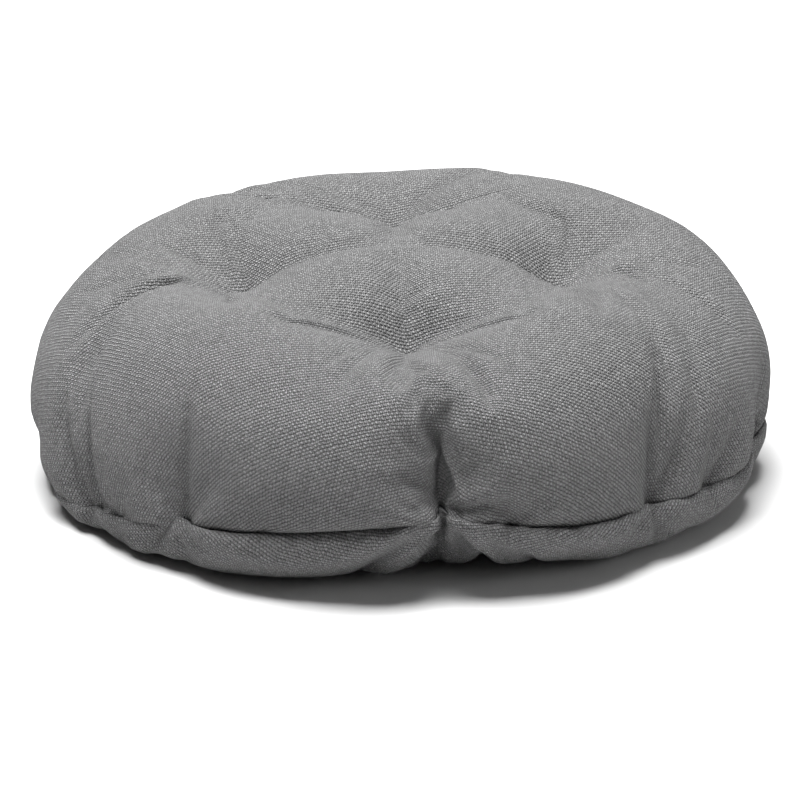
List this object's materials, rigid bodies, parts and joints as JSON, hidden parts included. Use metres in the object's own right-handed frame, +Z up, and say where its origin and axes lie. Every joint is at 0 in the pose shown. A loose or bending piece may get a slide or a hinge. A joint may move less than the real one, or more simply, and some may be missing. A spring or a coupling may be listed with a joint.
{
  "type": "tufted round floor cushion",
  "caption": "Low round floor cushion of coarse canvas, filled with fibre and tufted with twine, with a gathered seam low on its rim.",
  "frame": {"origin": "centre of the flat underside, on the floor", "axes": "+Z up out of the seat; -Y towards the front; the four tufts lie on the X and Y axes; the hand-closed stretch of the seam is at +Y"},
  "size_m": [0.45, 0.45, 0.1473],
  "materials": {
    "canvas": "coarse plain-weave canvas, mid grey, matt",
    "fibre": "loose white polyester fibre",
    "thread": "grey polyester sewing thread",
    "twine": "grey waxed tufting twine"
  },
  "bodies": {
    "root": {"top_cover": "canvas", "bottom_cover": "canvas", "filling": "fibre", "seam_needle_thread": "thread", "seam_bobbin_thread": "thread", "closing_seam_thread": "thread", "tuft_twine_front": "twine", "tuft_twine_right": "twine", "tuft_twine_back": "twine", "tuft_twine_left": "twine"}
  },
  "joints": []
}
